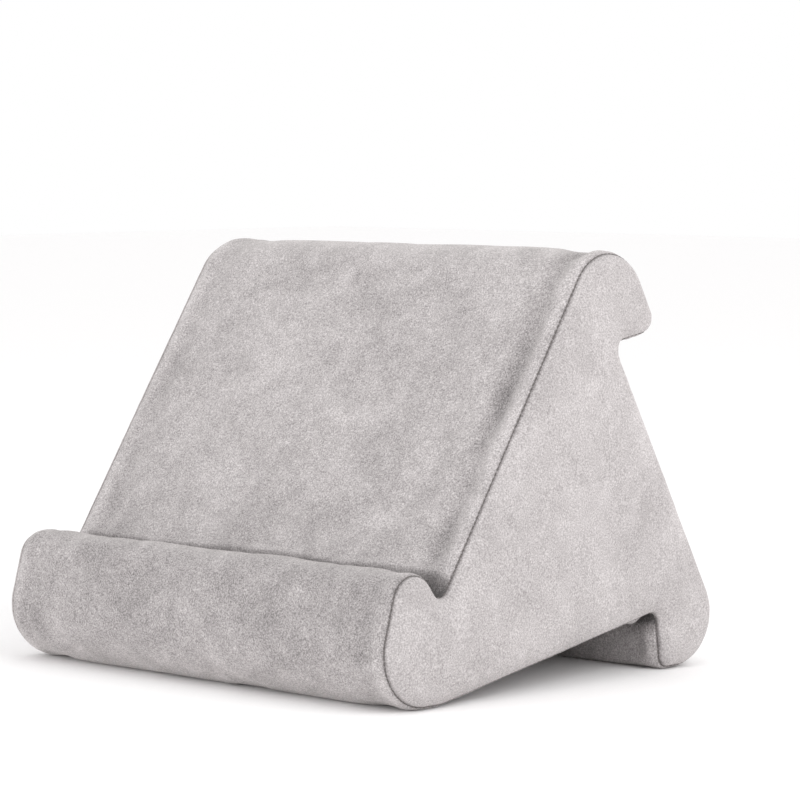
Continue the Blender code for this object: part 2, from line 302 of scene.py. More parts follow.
def seam_height(s, gap, side):
    """Height of the cloth at distance `gap` from an end seam.

    Puckers, less a parabola that rolls down to the seam, a narrow bell for the valley and a
    wide one for the hollow.
    """
    seed = SEEDS[side]
    roll = ROLL * (1 - ramp(gap, ROLL_REACH)) ** 2
    valley = VALLEY * bell(gap, VALLEY_REACH)
    uneven = 1 + 0.4 * waves(s, 0, HOLLOW_PATCH, seed + 1)
    size = HOLLOW * HOLLOW_SHARE[side] * on_long_face(s) * uneven
    hollow = size * bell(gap - HOLLOW_PLACE, HOLLOW_WIDTH)
    return pucker_height(s, gap, seed) - roll - valley - hollow


def pucker_height(s, gap, seed):
    """Waves along the seam, times (gap / fade) * exp(1 - gap / fade), stronger at grooves."""
    pull = near_grooves(s, GROOVE_PULL)
    fade = PUCKER_FADE * (1 + 0.8 * pull)
    strength = PUCKER * (0.8 + 0.5 * waves(s, 0, PUCKER_PATCH, seed + 2) + 1.8 * pull)
    return strength * waves(s, 0, PUCKER_LENGTH, seed) * gap / fade * np.exp(1 - gap / fade)


# %% [markdown]
# ## The whole wrap as one height map
#
# The wrap's height adds the seams at both ends, the valley of each groove's seam, a soft fold
# where the face turns into its groove, the hem beside the zipper, and the slow unevenness of
# hand-filled cloth. A cloth simulation, below, adds its own swelling to this.

# %% Height over the belt, and the wrap's surface
SLACK, SLACK_LENGTH, SLACK_SEED = 0.3 * MM, 60 * MM, 5
GROOVE_VALLEY, GROOVE_REACH = 2.6 * MM, 1.8 * MM
FOLD, FOLD_PLACE, FOLD_WIDTH, FOLD_FADE = 1.5 * MM, 8.5 * MM, 2.2 * MM, 4 * MM
FOLD_LENGTH, FOLD_SEED = 70 * MM, 32
WANDER, WANDER_LENGTH, WANDER_SEED = 1.5 * MM, 90 * MM, 31
TUCK = {"front_groove": 3.6 * MM, "rear_groove": 1.6 * MM, "base_groove": 0.7 * MM}
TUCK_PLACE, TUCK_WIDTH = 1.2 * MM, 4.2 * MM
ZIP_END, ZIP_CLOSE = 130.2 * MM, 1.6 * MM
HEM_SPREAD, HEM_ROUND, HEM_APART = 10 * MM, 0.7 * MM, 0.1 * MM


def plain_height(s, x):
    """The large shapes only: seam rolls and hollows, without the zipper and small folds."""
    height = SLACK * waves(s, x, SLACK_LENGTH, SLACK_SEED)
    height = height * ramp(SEAM_X - np.abs(x), ROLL_REACH)
    for side in (-1, 1):
        height = height + seam_height(s, SEAM_X - side * x, side)
    return height


def fold_height(s, x):
    """Bells along the belt: a valley at each groove's seam, and above it a tuck and a ridge.

    A long face is tucked under as it enters its groove, and the spare cloth makes the ridge.
    All of it fades out towards the end seams.
    """
    height = 0
    for name in GROOVES:
        enter = ENDS[name][0]
        ridge = enter - FOLD_PLACE + WANDER * waves(x, 0, WANDER_LENGTH, WANDER_SEED)
        uneven = 0.75 + 0.4 * waves(x, s, FOLD_LENGTH, FOLD_SEED)
        for size, place, width in (
            (-GROOVE_VALLEY, MIDDLE[name], GROOVE_REACH),
            (-TUCK[name], enter - TUCK_PLACE, TUCK_WIDTH),
            (FOLD * uneven, ridge, FOLD_WIDTH),
        ):
            height = height + size * bell(far_from(s, place), width)
    return height * ramp(SEAM_X - np.abs(x), FOLD_FADE) ** 0.5


def zip_opening(x):
    """Half the zipper's opening: ZIP_GAP wide, closing softly over ZIP_CLOSE past ZIP_END.

    The two hems never quite touch, so HEM_APART is left on each side.
    """
    return ZIP_GAP * eased(ramp(ZIP_END + ZIP_CLOSE - np.abs(x), ZIP_CLOSE)) + HEM_APART


def hem_height(s, x):
    """Beside the zipper the cloth slopes down HEM_DROP and then rolls under its own edge.

    The roll is a quarter circle of radius HEM_ROUND that stops just short of upright.
    """
    away = far_from(s, ZIP_S) - zip_opening(x)
    slope = HEM_DROP * (1 - ramp(away, HEM_WIDTH))
    inner = 1 - ramp(away, HEM_ROUND)
    return -slope - HEM_ROUND * (1 - np.sqrt(1 - 0.96 * inner**2))


def wrap_height(s, x):
    """All heights over the belt at every pair of a distance s and a place x."""
    height = plain_height(s[:, None], x) + fold_height(s[:, None], x)
    return height + swell_at(s, x)


def wrap_surface(s, x):
    """Points of the wrap: the belt at s, moved out by the height there, at each x.

    Near the zipper's ends the rows shift towards it, by what the opening has closed times
    the square of a share that falls to 0 over HEM_SPREAD. No point goes below the floor.
    """
    height = wrap_height(s, x)
    s, x = s[:, None], x[None, :]
    past = s - ZIP_S
    share = (1 - ramp(np.abs(past) - ZIP_GAP, HEM_SPREAD)) ** 2
    s = s - np.sign(past) * (ZIP_GAP + HEM_APART - zip_opening(x)) * share
    place = belt(s, height + hem_height(s, x))
    place[..., 1] = np.maximum(place[..., 1], 0)
    return with_x(x + lengthen(s, x), place)


# %% [markdown]
# ## The end panels
#
# Each end panel is one piece of velvet that the foam pushes out. It leaves the seam steeply,
# rolls over within a few millimetres, and then swells gently like a soap film with air behind
# it. The outline has lobes, so no single grid fits it: rows that follow the belt make the
# rim, and triangles between evenly spread points fill it.

# %% Height of an end panel, and its net of points
RIM_RISE, RIM_REACH, CROWN = {-1: 6.0 * MM, 1: 5.0 * MM}, 8 * MM, 2.3 * MM
RIM_DEPTHS = np.array([0, 0.05, 0.2, 0.45, 0.8, 1.25, 1.8, 2.4, 3.0]) * MM + SEAM_DEPTH


def rim_height(depth, side):
    """A quarter ellipse: rise * sqrt(1 - (1 - t)^2), where t is the share of the reach."""
    t = ramp(depth - SEAM_DEPTH, RIM_REACH)
    return RIM_RISE[side] * np.sqrt(1 - (1 - t) ** 2)


def end_net(depths, around, spacing):
    """Points (y, z), their depth and belt distance, faces, and how many points are the rim's.

    Rim rows lie at the given depths. Inside them, points on a grid of equal triangles are
    joined by Delaunay triangulation to the last rim row.
    """
    s = np.linspace(0, LOOP, around, endpoint=False)
    rows = np.stack([belt(s, -depth) for depth in depths])
    low, high = rows[0].min(0), rows[0].max(0)
    y = np.arange(low[0], high[0], spacing)
    z = np.arange(low[1], high[1], spacing * math.sqrt(3) / 2)
    y, z = np.meshgrid(y, z)
    y = y + spacing / 2 * (np.arange(len(y)) % 2)[:, None]
    inner = np.stack([y.ravel(), z.ravel()], -1)
    inner = inner[nearest(inner)[0] > depths[-1] + 0.55 * spacing]
    edge = [Vector(p) for p in rows[-1]]
    outline = [list(range(around))]
    out = delaunay_2d_cdt(edge + [Vector(p) for p in inner], [], outline, 1, 1e-7)
    assert len(out[0]) == around + len(inner), "the triangulation changed the points"
    points = np.concatenate([rows.reshape(-1, 2), inner])
    tri = np.array(out[2]) + around * (len(depths) - 1)
    a, b, c = points[tri.T]
    turned = np.cross(b - a, c - a) < 0
    tri[turned] = tri[turned][:, ::-1]
    faces = [f[::-1] for f in grid_faces(len(depths), around, loop_columns=True)]
    depth, near = nearest(points)
    rim = around * len(depths)
    depth[:rim], near[:rim] = np.repeat(depths, around), np.tile(s, len(depths))
    return points, depth, near, faces + tri.tolist(), rim


def film(points, faces, fixed, rounds=500):
    """The crown of a soap film with even pressure, from 0 at the first `fixed` points to 1.

    Each round moves every free point to the mean of its neighbours plus a constant.
    """
    edges = np.array([(f[i - 1], f[i]) for f in faces for i in range(len(f))])
    a, b = edges.T
    count = np.bincount(a, minlength=len(points))
    height = np.zeros(len(points))
    for _ in range(rounds):
        height = np.bincount(a, height[b], len(points)) / count + 1
        height[:fixed] = 0
    return height / height.max()


# %% Gathers that fan out from the end of each groove
GATHER, GATHER_RISE, GATHER_FADE, GATHER_FOLDS = 0.8 * MM, 3 * MM, 8 * MM, 9


def gathers(points):
    """Small folds round a groove's end, like pleats round a button.

    Minus GATHER * (1 + cos(folds * angle)), which rises and fades past the groove's radius.
    The angle is bent a little so that no two pleats match.
    """
    total = 0
    for i, name in enumerate(GROOVES):
        y, z, radius, _ = CIRCLES[name]
        away = points - np.array([FRONT + y * MM, z * MM])
        angle = np.arctan2(away[:, 1], away[:, 0])
        past = np.maximum(np.hypot(*away.T) - radius * MM, 0)
        uneven = GATHER_FOLDS * angle + 1.5 * np.sin(2 * angle + i)
        fade = past / (past + GATHER_RISE) * np.exp(-past / GATHER_FADE)
        total = total - GATHER * (1 + np.cos(uneven)) * fade
    return total


# %% [markdown]
# ## Letting the cloth settle
#
# Foam pushes sewn velvet out between its seams, and the spare cloth finds its own soft
# wrinkles. Blender's Cloth works this out. A coarse copy of the whole cover is held firmly
# along every seam and loosely elsewhere, as foam holds it. It is cut two per cent too large,
# blown up a little, and left for twenty frames. Only how far each point has moved outwards is
# kept, capped, and added to the fine surfaces, so the seams and hems stay crisp.

# %% A coarse closed cover
COARSE_S, COARSE_X, COARSE_CAP, CAP_EDGE = 140, 49, 6 * MM, 5.2 * MM


def close_ends(rings, caps, tri):
    """Rings joined along x, and closed at each end by a cap of triangles.

    tri numbers the points of the end ring first and then the cap's own.
    """
    around, length = rings.shape[:2]
    faces, total = grid_faces(around, length, loop_rows=True), around * length
    for side, column, cap in zip((-1, 1), (0, length - 1), caps):
        ring = np.arange(around) * length + column
        index = np.concatenate([ring, total + np.arange(len(cap))]).tolist()
        faces += [[index[i] for i in f[::side]] for f in tri]
        total += len(cap)
    return np.concatenate([rings.reshape(-1, 3), *caps]), faces


def coarse_cover():
    """Points and faces, how firmly each point is held, and the caps' own points."""
    s = np.linspace(0, LOOP, COARSE_S, endpoint=False)[:, None]
    x = np.linspace(-SEAM_X, SEAM_X, COARSE_X)
    roll = sum(ROLL * (1 - ramp(SEAM_X - k * x, ROLL_REACH)) ** 2 for k in (-1, 1))
    lines = [*MIDDLE.values(), ZIP_S - ZIP_GAP, ZIP_S + ZIP_GAP]
    near = np.min([far_from(s, line) for line in lines], 0)
    held = np.where(near < LOOP / COARSE_S, 1.0, SUPPORT) + 0 * x
    held[:, [0, -1]] = 1
    net, depth, _, tri, _ = end_net(np.array([ROLL, CAP_EDGE]), COARSE_S, COARSE_CAP)
    caps = [with_x(k * (SEAM_X + rim_height(depth + VALLEY, k)), net)[COARSE_S:] for k in (-1, 1)]
    points, faces = close_ends(with_x(x, belt(s, -roll)), caps, tri)
    weights = np.full(len(points), SUPPORT)
    weights[: held.size] = held.ravel()
    return points, faces, weights, net[COARSE_S:]


# %% Run the simulation
SUPPORT, FRAMES = 0.12, 20
CLOTH = {
    "quality": 6, "vertex_group_mass": "held", "pin_stiffness": 1, "bending_stiffness": 0.4,
    "shrink_min": -0.02, "use_pressure": True, "uniform_pressure_force": 1.2,
}
SWELL_OUT, SWELL_IN, SWELL_SHARE = 2.2 * MM, 0.9 * MM, 0.5


def vectors(vertices, key):
    """One vector of each vertex, as an array."""
    values = np.zeros(len(vertices) * 3)
    vertices.foreach_get(key, values)
    return values.reshape(-1, 3)


def settle():
    """How far each coarse point moves outwards in FRAMES frames, softly capped."""
    points, faces, weights, net = coarse_cover()
    made = make_piece("settling", points, faces, None)
    normals = vectors(made.data.vertices, "normal")
    group = made.vertex_groups.new(name="held")
    for weight in np.unique(weights):
        group.add(np.flatnonzero(weights == weight).tolist(), float(weight), "REPLACE")
    cloth = made.modifiers.new("cloth", "CLOTH")
    for key, value in CLOTH.items():
        setattr(cloth.settings, key, value)
    cloth.settings.effector_weights.gravity = 0
    for frame_number in range(1, FRAMES + 1):
        bpy.context.scene.frame_set(frame_number)
    graph = bpy.context.evaluated_depsgraph_get()
    settled = vectors(made.evaluated_get(graph).data.vertices, "co")
    bpy.context.scene.frame_set(1)
    bpy.data.objects.remove(made)
    moved = ((settled - points) * normals).sum(-1)
    print("the cloth moved, in mm:", np.percentile(moved / MM, [0, 5, 50, 95, 100]).round(2))
    limit = np.where(moved > 0, SWELL_OUT, SWELL_IN)
    return SWELL_SHARE * limit * np.tanh(moved / limit), net


swell, cap_net = settle()
swell_wrap = swell[: COARSE_S * COARSE_X].reshape(COARSE_S, COARSE_X)
swell_caps = dict(zip((-1, 1), swell[COARSE_S * COARSE_X :].reshape(2, -1)))

# %% From the coarse cover to the fine surfaces
def spline_weights(fine, start, step, count, looped):
    """A matrix that carries values on an even line to places between, by Catmull-Rom.

    Its four weights at a share t between two points are half of the cubics in `parts`.
    """
    place = (np.asarray(fine) - start) / step
    first = np.floor(place).astype(int)
    t = place - first
    parts = (-t + 2 * t**2 - t**3, 2 - 5 * t**2 + 3 * t**3, t + 4 * t**2 - 3 * t**3, t**3 - t**2)
    matrix = np.zeros((len(place), count))
    for offset, part in enumerate(parts):
        column = first + offset - 1
        column = column % count if looped else np.clip(column, 0, count - 1)
        np.add.at(matrix, (np.arange(len(place)), column), part / 2)
    return matrix


def swell_at(s, x):
    """The simulated swelling of the wrap at each s and x."""
    rows = spline_weights(np.mod(s, LOOP), 0, LOOP / COARSE_S, COARSE_S, True)
    step = 2 * SEAM_X / (COARSE_X - 1)
    columns = spline_weights(x, -SEAM_X, step, COARSE_X, False)
    return rows @ swell_wrap @ columns.T


def swell_cap(points, side):
    """The simulated swelling of an end panel: neighbours' mean, weighted by a bell curve."""
    if cap_net is None:
        return 0
    total = []
    for block in np.array_split(points, 8):
        away = ((block[:, None] - cap_net[None]) ** 2).sum(-1)
        weight = np.exp(-away / (0.8 * COARSE_CAP) ** 2) + 1e-12
        total.append(weight @ swell_caps[side] / weight.sum(1))
    return np.concatenate(total)


# %% [markdown]
# ## Materials
#
# One function turns a paint chip's sRGB hex value into the linear numbers that Blender
# blends, and one adds a node with its settings and links.

# %% Colours and nodes
def linear(code):
    """sRGB hex to linear: c / 12.92 if c < 0.04045, else ((c + 0.055) / 1.055) ^ 2.4."""
    c = np.array([int(code[i : i + 2], 16) for i in (0, 2, 4)]) / 255
    return (*np.where(c < 0.04045, c / 12.92, ((c + 0.055) / 1.055) ** 2.4).tolist(), 1)


def node(tree, kind, inputs=None, stops=(), **settings):
    """Add a node. An input is a value or another node's output, by name or by number."""
    made = tree.nodes.new("ShaderNode" + kind)
    for key, value in settings.items():
        setattr(made, key, value)
    for key, value in (inputs or {}).items():
        if isinstance(value, bpy.types.NodeSocket):
            tree.links.new(value, made.inputs[key])
        else:
            made.inputs[key].default_value = value
    for i, (place, colour) in enumerate(stops):
        marks = made.color_ramp.elements
        stop = marks[i] if i < len(marks) else marks.new(place)
        stop.position, stop.color = place, linear(colour)
    return made


def start(name):
    """A new material with its node tree, its shader and the object's own coordinates."""
    made = bpy.data.materials.new(name)
    made.use_nodes = True
    tree = made.node_tree
    shader = tree.nodes["Principled BSDF"]
    return made, tree, shader, tree.nodes.new("ShaderNodeTexCoord").outputs["Object"]


def dress(tree, shader, value, stops, height, strength, relief, inputs):
    """Colour the shader by a value, bump it by a height and set its other inputs."""
    colour = node(tree, "ValToRGB", {0: value}, stops=stops)
    tree.links.new(colour.outputs[0], shader.inputs["Base Color"])
    bump = node(tree, "Bump", {"Height": height, "Strength": strength, "Distance": relief})
    tree.links.new(bump.outputs[0], shader.inputs["Normal"])
    for key, setting in inputs.items():
        shader.inputs[key].default_value = setting


# %% [markdown]
# ## Short-pile velvet
#
# The cover is knitted polyester velvet with a pile of about one millimetre. Each tuft leans
# its own way, so close up the cloth is a fine speckle, and where a hand has brushed it the
# pile leans in patches a few centimetres across, lighter or darker as it turns to the light.
# Velvet is matt but its fibre ends catch light at a grazing view, which is what Sheen is for.
# The real tufts are about 0.3 mm apart; the speckle is drawn at 0.8 mm so that it shows.

# %% Velvet of the wrap and of the ends
TUFT, BRUSH, PATCH, PILE_RELIEF = 0.8 * MM, 8 * MM, 38 * MM, 0.6 * MM


def velvet(name, deep, dark, middle, light, patchy, brushed, speckle):
    """Velvet, deep to light by 0.5 + half the sum of share * (noise - 0.5) + the mesh's lean.

    The noises are patches, brush marks and tufts. The lean is the mesh's own attribute of painted
    light and shade, below zero for painted shade in hollows, seam creases and grooves.
    """
    made, tree, shader, where = start(name)
    # The mesh's attribute adds painted shade, painted highlights and a little random tone to the
    # colour.
    total = node(tree, "Attribute", attribute_name="pile_lean").outputs["Fac"]
    for size, share, detail, twist in (
        (PATCH, patchy, 2.0, 0.8), (BRUSH, brushed, 3.0, 0.5), (TUFT, speckle, 3.0, 0.0),
    ):
        noise = node(tree, "TexNoise", {"Vector": where, "Scale": 1 / size, "Detail": detail,
                                        "Roughness": 0.6, "Distortion": twist})
        centred = node(tree, "Math", {0: noise.outputs[0], 1: 0.5}, operation="SUBTRACT")
        total = node(tree, "Math", {0: centred.outputs[0], 1: share, 2: total},
                     operation="MULTIPLY_ADD").outputs[0]
    total = node(tree, "Math", {0: total, 1: 0.5, 2: 0.5}, operation="MULTIPLY_ADD").outputs[0]
    stops = [(0.0, deep), (0.25, dark), (0.5, middle), (0.75, light)]
    dress(tree, shader, total, stops, noise.outputs[0], 0.5, PILE_RELIEF, {
        "Roughness": 0.9, "Specular IOR Level": 0.2, "Sheen Weight": 0.35,
        "Sheen Roughness": 0.45, "Sheen Tint": linear("FFFBF8"),
    })
    return made


wrap_velvet = velvet("short_pile_velvet", "504D4D", "827E7E", "ABA6A6", "D2CDCD",
                     patchy=0.6, brushed=0.5, speckle=2.4)
end_velvet = velvet("short_pile_velvet_across_nap", "5A5656", "8B8686", "B2ADAD", "D5D0D0",
                    patchy=0.4, brushed=0.35, speckle=2.1)

# %% [markdown]
# ## Finishes of the small parts
#
# The thread is twisted polyester, so its colour runs in fine slanted bands. The zipper's tape
# is woven twill, its coils are nylon monofilament, and its slider is cast zinc with a satin
# nickel plating that has picked up fine scratches. The label is white satin ribbon, and the
# foam is open-cell polyurethane, whose cells are about a millimetre.

# %% Thread, tape, nylon, plated zinc, satin and foam
TWIST, TWILL, RIB, CELL = 0.6 * MM, 0.8 * MM, 0.5 * MM, 1.2 * MM
DRAWN, SCRATCH, FINE_RELIEF = 3 * MM, 0.4 * MM, 0.2 * MM


def finish(name, scale, dark, light, rough, bump, kind="TexNoise", turn=(0, 0, 0),
           stretch=(1, 1, 1), metal=0.0, sheen=0.0, **settings):
    """A pattern of one size in two colours that also drives a small bump."""
    made, tree, shader, where = start(name)
    place = node(tree, "Mapping", {"Vector": where, "Rotation": turn, "Scale": stretch})
    pattern = node(tree, kind, {"Vector": place.outputs[0], "Scale": 1 / scale}, **settings)
    value = pattern.outputs["Fac" if kind != "TexVoronoi" else "Distance"]
    dress(tree, shader, value, [(0.25, dark), (0.75, light)], value, bump, FINE_RELIEF,
          {"Roughness": rough, "Metallic": metal, "Sheen Weight": sheen})
    return made


BACK_SLOPE = LEAVE["rear_round"] - math.pi
thread = finish("twisted_polyester_thread", TWIST, "5F5957", "8D8785", 0.7, 0.5,
                kind="TexWave", bands_direction="DIAGONAL")
tape = finish("woven_twill_tape", TWILL, "A6A19E", "C0BBB8", 0.85, 0.6,
              kind="TexWave", turn=(-BACK_SLOPE, 0, 0), bands_direction="DIAGONAL")
nylon = finish("nylon_monofilament", DRAWN, "A29D9A", "B8B3B0", 0.35, 0.1)
nickel = finish("satin_nickel_on_zinc", SCRATCH, "B4B3B1", "C9C8C6", 0.3, 0.15,
                stretch=(0.08, 1, 1), metal=1.0)
satin = finish("white_satin_ribbon", RIB, "CBC8C3", "E3E0DB", 0.45, 0.3,
               kind="TexWave", turn=(-BACK_SLOPE, 0, 0), bands_direction="X", sheen=0.3)
foam = finish("open_cell_polyurethane_foam", CELL, "CFC49C", "F0E8CC", 0.9, 1.0,
              kind="TexVoronoi")

# %% [markdown]
# ## Sewing the wrap
#
# The four panels share one surface and are parted where a sewer parts them: at the three
# grooves and at the zipper. The Solidify modifier gives the cloth its real thickness, inwards.

# %% The four panels of the wrap
SEAM_GAP = 0.1 * MM
columns = graded(-SEAM_X, SEAM_X, [-SEAM_X, SEAM_X],
                 fine=0.3 * MM, coarse=2.4 * MM, reach=26 * MM)


def thicken(piece, thickness):
    """Give a surface its thickness, inwards from the modelled face."""
    wall = piece.modifiers.new("thickness", "SOLIDIFY")
    wall.thickness, wall.offset = thickness, -1


def wrap_panel(name, begin, end, panel_painted_shade):
    """A stretch of the wrap between two distances along the belt, with its own painted shade."""
    if end < begin:
        begin -= LOOP
    spots = [p + turn for p in (*MIDDLE.values(), ZIP_S - ZIP_GAP, ZIP_S + ZIP_GAP)
             for turn in (-LOOP, 0)]
    rows = graded(begin, end, spots, fine=0.35 * MM, coarse=1.9 * MM, reach=30 * MM)
    lean = wrap_painted_light(rows, columns, panel_painted_shade)
    faces = grid_faces(len(rows), len(columns))
    piece = make_piece(name, wrap_surface(rows, columns), faces, wrap_velvet, lean)
    thicken(piece, FABRIC)
    print(f"{name}: {len(rows)} x {len(columns)} points, {(end - begin) / MM:.0f} mm long")
    return piece


# Painted light and shade on the velvet: shade in hollows, seam creases and grooves, a highlight
# beside each seam, and floor bounce under the front lobe.
PAINTED_HOLLOW_SHADE, PAINTED_EDGE_HIGHLIGHT, PAINTED_CREASE_SHADE, PAINTED_GROOVE_SHADE, PAINTED_BOUNCE_LIGHT = -0.3, 0.12, -0.6, -1.3, 0.2
EDGE_PLACE, EDGE_WIDTH, CREASE, GROOVE_SHADE = 4 * MM, 3 * MM, 0.3 * MM, 6 * MM
UNDER_PLACE, UNDER_WIDTH, PAINTED_HOLLOW_SEED = 36 * MM, 16 * MM, 41


def wrap_painted_light(s, x, whole):
    """Painted light and shade on the wrap, a sum of bells on top of each panel's own painted
    shade.

    It is painted shade in hollows, in the crease of a seam and in grooves, a painted highlight
    on the rolled edge beside a seam, and painted floor bounce where the front lobe turns under.
    """
    s, total = s[:, None], whole
    for side in (-1, 1):
        gap, share = SEAM_X - side * x[None, :], HOLLOW_SHARE[side]
        uneven = share * on_long_face(s) * (1 + 0.5 * waves(s, 0, HOLLOW_PATCH, PAINTED_HOLLOW_SEED))
        total = total + PAINTED_HOLLOW_SHADE * uneven * bell(gap - HOLLOW_PLACE, HOLLOW_WIDTH)
        total = total + PAINTED_EDGE_HIGHLIGHT * bell(gap - EDGE_PLACE, EDGE_WIDTH)
        total = total + PAINTED_CREASE_SHADE * share * bell(gap, CREASE)
    total = total + PAINTED_GROOVE_SHADE * near_grooves(s, GROOVE_SHADE)
    turned_under = far_from(s, ENDS["front_round"][0] + UNDER_PLACE)
    return total + PAINTED_BOUNCE_LIGHT * bell(turned_under, UNDER_WIDTH)


# The third number is painted shade over a whole panel: the base panel, which holds the front lobe,
# is darker.
panels = {
    "front_panel": (MIDDLE["rear_groove"] + SEAM_GAP, MIDDLE["front_groove"] - SEAM_GAP, 0.0),
    "base_panel": (MIDDLE["front_groove"] + SEAM_GAP, MIDDLE["base_groove"] - SEAM_GAP, -0.18),
    "back_panel_lower": (MIDDLE["base_groove"] + SEAM_GAP, ZIP_S - ZIP_GAP, 0.0),
    "back_panel_upper": (ZIP_S + ZIP_GAP, MIDDLE["rear_groove"] - SEAM_GAP, 0.0),
}
for name, (begin, end, panel_painted_shade) in panels.items():
    piece = wrap_panel("cover_" + name, begin, end, panel_painted_shade)
    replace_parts(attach(piece, "cushion"), name)

# %% The two end panels
RIM_POINTS, FAN_SPACING, LONGER_FADE = 720, 2.2 * MM, 15 * MM
END_SLACK, END_SLACK_LENGTH, END_PATCH, GATHERS_FROM = 0.35 * MM, 40 * MM, 50 * MM, 2 * MM
net, depth, near, net_faces, rim = end_net(RIM_DEPTHS, RIM_POINTS, FAN_SPACING)
crown = CROWN * film(net, net_faces, rim - RIM_POINTS)


def end_panel(name, side):
    """x = the seam's place + rim + crown + gathers + puckers + slack + swelling, at each point.

    The seam's place follows the longer wrap, and fades to one value further in.
    """
    seed, gap = SEEDS[side], depth - SEAM_DEPTH
    inside = ramp(gap, ROLL_REACH)
    height = rim_height(depth, side) + crown + gathers(net) * ramp(gap, GATHERS_FROM)
    height = height + 0.8 * pucker_height(near, gap, seed)
    height = height + END_SLACK * waves(*net.T, END_SLACK_LENGTH, seed + 3) * inside
    height = height + 0.7 * swell_cap(net, side) * inside
    seam, fade = side * SEAM_X, np.exp(-gap / LONGER_FADE)
    longer = lengthen(near, seam) * fade + lengthen(0, seam) * (1 - fade)
    points = with_x(seam + side * height + longer, net)
    points[:, 2] = np.maximum(points[:, 2], 0)
    # Random patches of pile tone, less a painted shade in the crease of the seam.
    lean = 0.06 * waves(*net.T, END_PATCH, seed + 4) - 0.5 * bell(gap, CREASE)
    piece = make_piece(name, points, [f[::side] for f in net_faces], end_velvet, lean)
    thicken(piece, FABRIC)
    print(f"{name}: {len(points)} points, swells {(height.max()) / MM:.1f} mm past its seam")
    return piece


for side, side_name in ((-1, "left"), (1, "right")):
    piece = end_panel(f"cover_end_panel_{side_name}", side)
    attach(piece, "cushion")
    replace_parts(piece, f"end_panel_{side_name}")

# %% [markdown]
# ## The foam inside
#
# The block is cut on a contour saw, so it is the same profile a little smaller. It is the belt
# moved inwards, carried from end to end, and closed by a net of triangles like an end panel's.

# %% The foam block
FOAM_DEPTH, FOAM_X, FOAM_ROUND, FOAM_RIM = 3.2 * MM, 132.2 * MM, 4 * MM, 2.2 * MM
FOAM_AROUND, FOAM_SPACING = 500, 5 * MM


def foam_block():
    """Lines of the belt along x, always FOAM_DEPTH below the cover's own height there.

    At each end they go deeper by FOAM_RIM * (1 - sqrt(1 - t^2)), a rounded rim.
    """
    net, _, _, tri, _ = end_net(np.array([FOAM_DEPTH + FOAM_RIM]), FOAM_AROUND, FOAM_SPACING)
    s = np.linspace(0, LOOP, FOAM_AROUND, endpoint=False)
    rim = FOAM_X - np.geomspace(0.1 * MM, FOAM_ROUND, 8)
    x = np.unique(np.concatenate([np.linspace(-FOAM_X, FOAM_X, 61), rim, -rim]))
    t = 1 - ramp(FOAM_X - np.abs(x), FOAM_ROUND)
    height = np.minimum(plain_height(s[:, None], x) + fold_height(s[:, None], x), 0)
    height = height + np.minimum(swell_at(s, x), 0)
    height = height * (1 - t) - FOAM_DEPTH - FOAM_RIM * (1 - np.sqrt(1 - t**2))
    rings = with_x(x, belt(s[:, None], height))
    caps = [with_x(side * FOAM_X, net)[FOAM_AROUND:] for side in (-1, 1)]
    return make_piece("foam_block", *close_ends(rings, caps, tri), foam)


block = foam_block()
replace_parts(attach(block, "cushion"), "foam_core")

# %% [markdown]
# ## Stitches
#
# A seam shows as a row of short bars of thread, each pulled down at its ends where it dives
# into the cloth. One bar is a small closed tube, and a row copies it by adding arrays.

# %% A row of stitches along any line
STITCH_PITCH, STITCH_LENGTH, THREAD_R, STITCH_SINK = 3 * MM, 2.3 * MM, 0.25 * MM, 0.3 * MM
IN_SEAM, IN_GROOVE, IN_HEM, FROM_SEAM = 0.35 * MM, 0.15 * MM, 0.12 * MM, 2 * MM


def stitch_row(name, centre, along, up, node_name=None):
    """Stitches at the centres: each point is centre + bar * (along, across, up).

    Along the bar the radius swells as sqrt(1 - t^4) and the bar sinks by t^2.
    """
    t = np.array([-0.97, -0.7, 0, 0.7, 0.97])
    turn = np.linspace(0, 2 * math.pi, 6, endpoint=False)
    radius = THREAD_R * np.sqrt(1 - t**4)[:, None]
    bar = np.stack(np.broadcast_arrays(
        t[:, None] * STITCH_LENGTH / 2,
        radius * np.cos(turn),
        radius * np.sin(turn) - STITCH_SINK * t[:, None] ** 2,
    ), -1).reshape(-1, 3)
    across = np.cross(up, along)
    axes = np.stack([along, across, up], 1)
    points = centre[:, None] + np.einsum("pk,nkc->npc", bar, axes)
    one = grid_faces(5, 6, loop_columns=True)
    one += [list(range(6))[::-1], list(range(24, 30))]
    faces = [[i + 30 * n for i in f] for n in range(len(centre)) for f in one]
    piece = make_piece(name, points, faces, thread)
    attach(piece, "cushion")
    if node_name:
        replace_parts(piece, node_name)
    print(f"{name}: {len(centre)} stitches")
    return piece


def end_seam(side, side_name):
    """Stitches in an end seam's valley, all the way round the belt."""
    count = round(LOOP / STITCH_PITCH)
    s = np.arange(count) * LOOP / count
    out = IN_SEAM - SEAM_DEPTH
    middle, ahead, outer = belt(s, out), belt(s + 0.1 * MM, out), belt(s, out + MM)
    along = with_x(0, ahead - middle)
    along /= np.linalg.norm(along, axis=1, keepdims=True)
    centre = with_x(side * SEAM_X + lengthen(s, side * SEAM_X), middle)
    up = with_x(0, (outer - middle) / MM)
    stitch_row(f"end_seam_stitches_{side_name}", centre, along, up, f"end_seam_thread_{side_name}")


